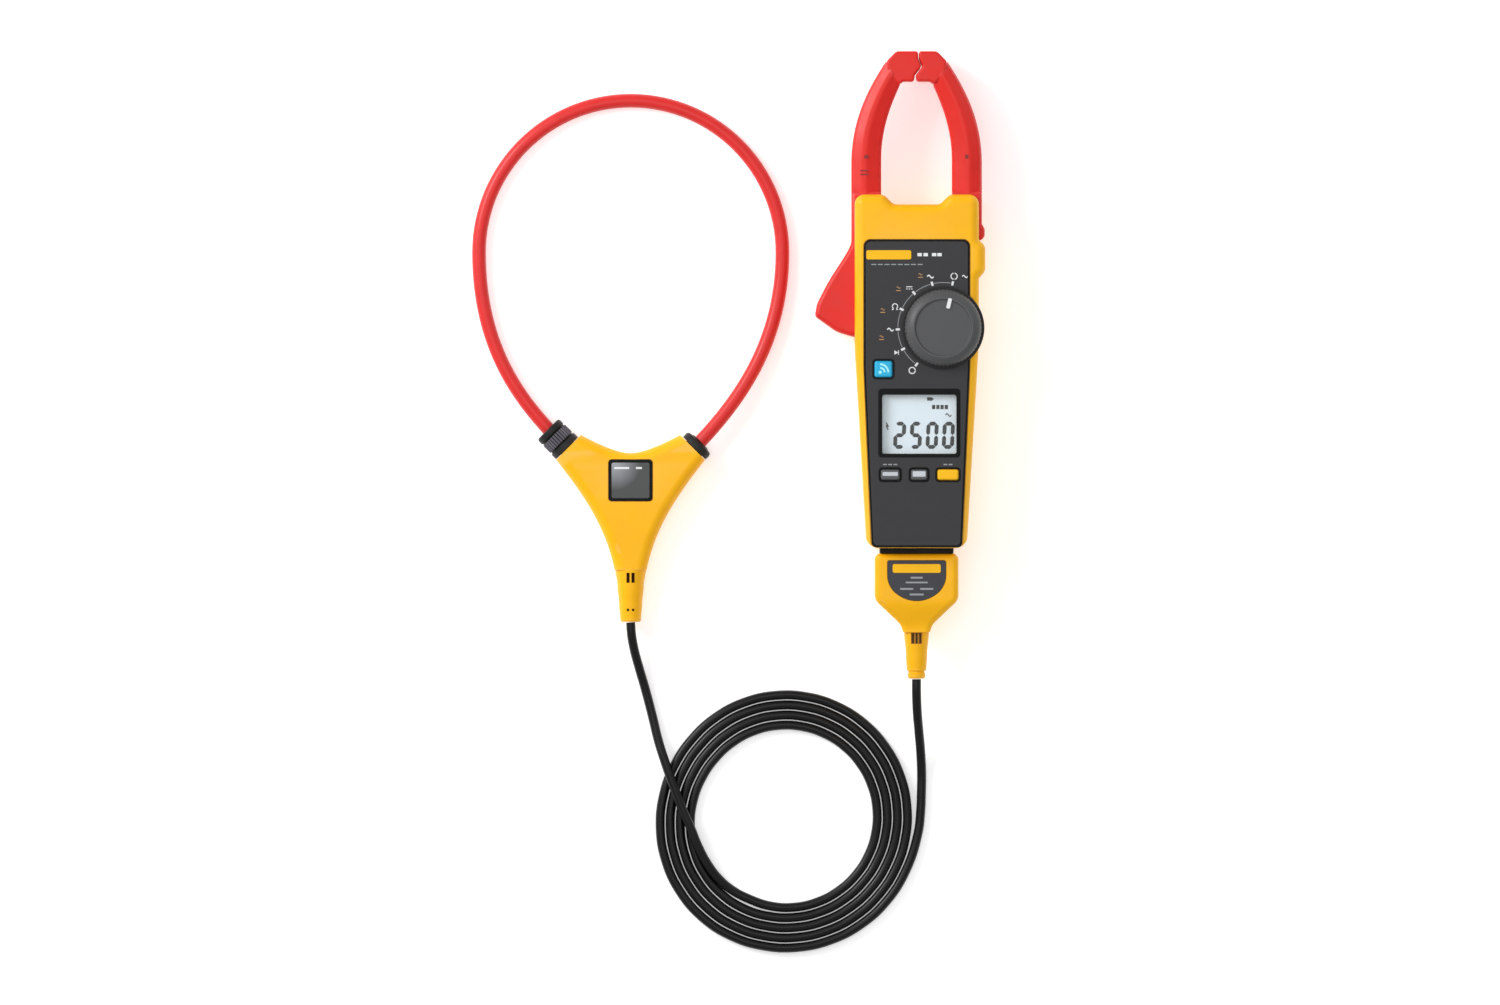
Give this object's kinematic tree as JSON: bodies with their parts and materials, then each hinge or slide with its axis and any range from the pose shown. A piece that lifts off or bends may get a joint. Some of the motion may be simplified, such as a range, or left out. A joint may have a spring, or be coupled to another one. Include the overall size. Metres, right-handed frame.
{
  "type": "clamp meter",
  "caption": "Hand-held clamp meter with a hinged jaw, rotary dial, screen and keys, and a plug-in flexible current probe whose cable lies coiled beside it.",
  "frame": {"origin": "on the meter's flat back face, on its centre line, 176.5 mm case from 52.5 mm above to 124 mm below it", "axes": "+Z out of the meter's front face, +Y along the meter towards its jaws, +X to the right seen from the front; the object lies on the plane z = 0"},
  "size_m": [0.2565, 0.4504, 0.045],
  "materials": {
    "case_yellow": "satin",
    "jaw_red": "satin",
    "hoop_red": "satin",
    "panel_charcoal": "satin",
    "knob_grey": "matte",
    "black_plastic": "satin",
    "key_grey": "matte",
    "key_yellow": "matte",
    "key_blue": "matte",
    "white_mark": "matte",
    "screen_glass": "gloss",
    "clear_window": "gloss",
    "board_green": "satin",
    "silicone": "matte",
    "steel": "brushed",
    "brass": "polished",
    "core_metal": "matte",
    "cell_wrap": "gloss",
    "cord_black": "satin"
  },
  "bodies": {
    "meter": {"front_case": "case_yellow", "back_case": "case_yellow", "front_panel": "panel_charcoal", "display_window": "clear_window", "lcd_module": "screen_glass", "lcd_holder": "black_plastic", "zebra_strip": "silicone", "main_board": "board_green", "keypad_mat": "silicone", "radio_key_dome": "silicone", "fixed_jaw_front": "jaw_red", "fixed_jaw_back": "jaw_red", "fixed_core": "core_metal", "jaw_dowel": "steel", "pivot_pin": "steel", "socket_block": "black_plastic", "common_jack": "brass", "volt_jack": "brass", "cell_1": "cell_wrap", "cell_2": "cell_wrap", "cell_link": "steel", "cell_contact_1": "steel", "cell_contact_2": "steel", "case_screw_1": "steel", "case_screw_2": "steel", "case_screw_3": "steel", "case_screw_4": "steel"},
    "moving_jaw": {"moving_jaw_front": "jaw_red", "moving_jaw_back": "jaw_red", "moving_core": "core_metal", "jaw_spring": "steel"},
    "dial": {"dial_knob": "knob_grey", "dial_pointer": "white_mark", "dial_rotor": "brass"},
    "battery_door": {"battery_door": "case_yellow", "door_screw_1": "steel", "door_screw_2": "steel"},
    "probe": {"plug_front_shell": "case_yellow", "plug_back_shell": "case_yellow", "plug_label": "panel_charcoal", "plug_nose": "black_plastic", "plug_board": "board_green", "plug_boot": "case_yellow", "handle_front_shell": "case_yellow", "handle_back_shell": "case_yellow", "handle_label": "panel_charcoal", "handle_board": "board_green", "handle_boot": "case_yellow", "hoop_ferrule": "black_plastic", "fixed_collar": "black_plastic", "sensor_hoop": "hoop_red", "cord_from_plug": "cord_black", "cord_coil": "cord_black", "cord_to_handle": "cord_black"},
    "lock_collar": {"lock_collar": "black_plastic"},
    "record_key": {"record_key": "key_grey"},
    "hold_key": {"hold_key": "key_grey"},
    "zero_key": {"zero_key": "key_yellow"},
    "radio_key": {"radio_key": "key_blue"}
  },
  "joints": [
    {"name": "jaw_hinge", "type": "hinge", "parent": "meter", "child": "moving_jaw", "pos_m": [-0.022, 0.032, 0.018], "axis": [0, 0, 1], "range_deg": [0, 22], "stiffness_Nm_per_rad": 0.8, "springref_deg": -20.05},
    {"name": "dial_turn", "type": "hinge", "parent": "meter", "child": "dial", "pos_m": [0.0131, -0.0141, 0.04], "axis": [0, 0, 1], "range_deg": [0, 156]},
    {"name": "record_key_press", "type": "slide", "parent": "meter", "child": "record_key", "axis": [0, 0, -1], "range_m": [0, 0.0008], "stiffness_N_per_m": 900, "springref_m": -0.0008},
    {"name": "hold_key_press", "type": "slide", "parent": "meter", "child": "hold_key", "axis": [0, 0, -1], "range_m": [0, 0.0008], "stiffness_N_per_m": 900, "springref_m": -0.0008},
    {"name": "zero_key_press", "type": "slide", "parent": "meter", "child": "zero_key", "axis": [0, 0, -1], "range_m": [0, 0.0008], "stiffness_N_per_m": 900, "springref_m": -0.0008},
    {"name": "radio_key_press", "type": "slide", "parent": "meter", "child": "radio_key", "axis": [0, 0, -1], "range_m": [0, 0.0008], "stiffness_N_per_m": 900, "springref_m": -0.0008},
    {"name": "battery_door_off", "type": "slide", "parent": "meter", "child": "battery_door", "axis": [0, 0, -1], "range_m": [0, 0.02]},
    {"name": "probe_unplug", "type": "slide", "parent": "meter", "child": "probe", "axis": [0, -1, 0], "range_m": [0, 0.02]},
    {"name": "collar_turn", "type": "hinge", "parent": "probe", "child": "lock_collar", "pos_m": [-0.1746, -0.0743, 0.0085], "axis": [-0.7071, 0.7071, 0], "range_deg": [0, 45]}
  ]
}
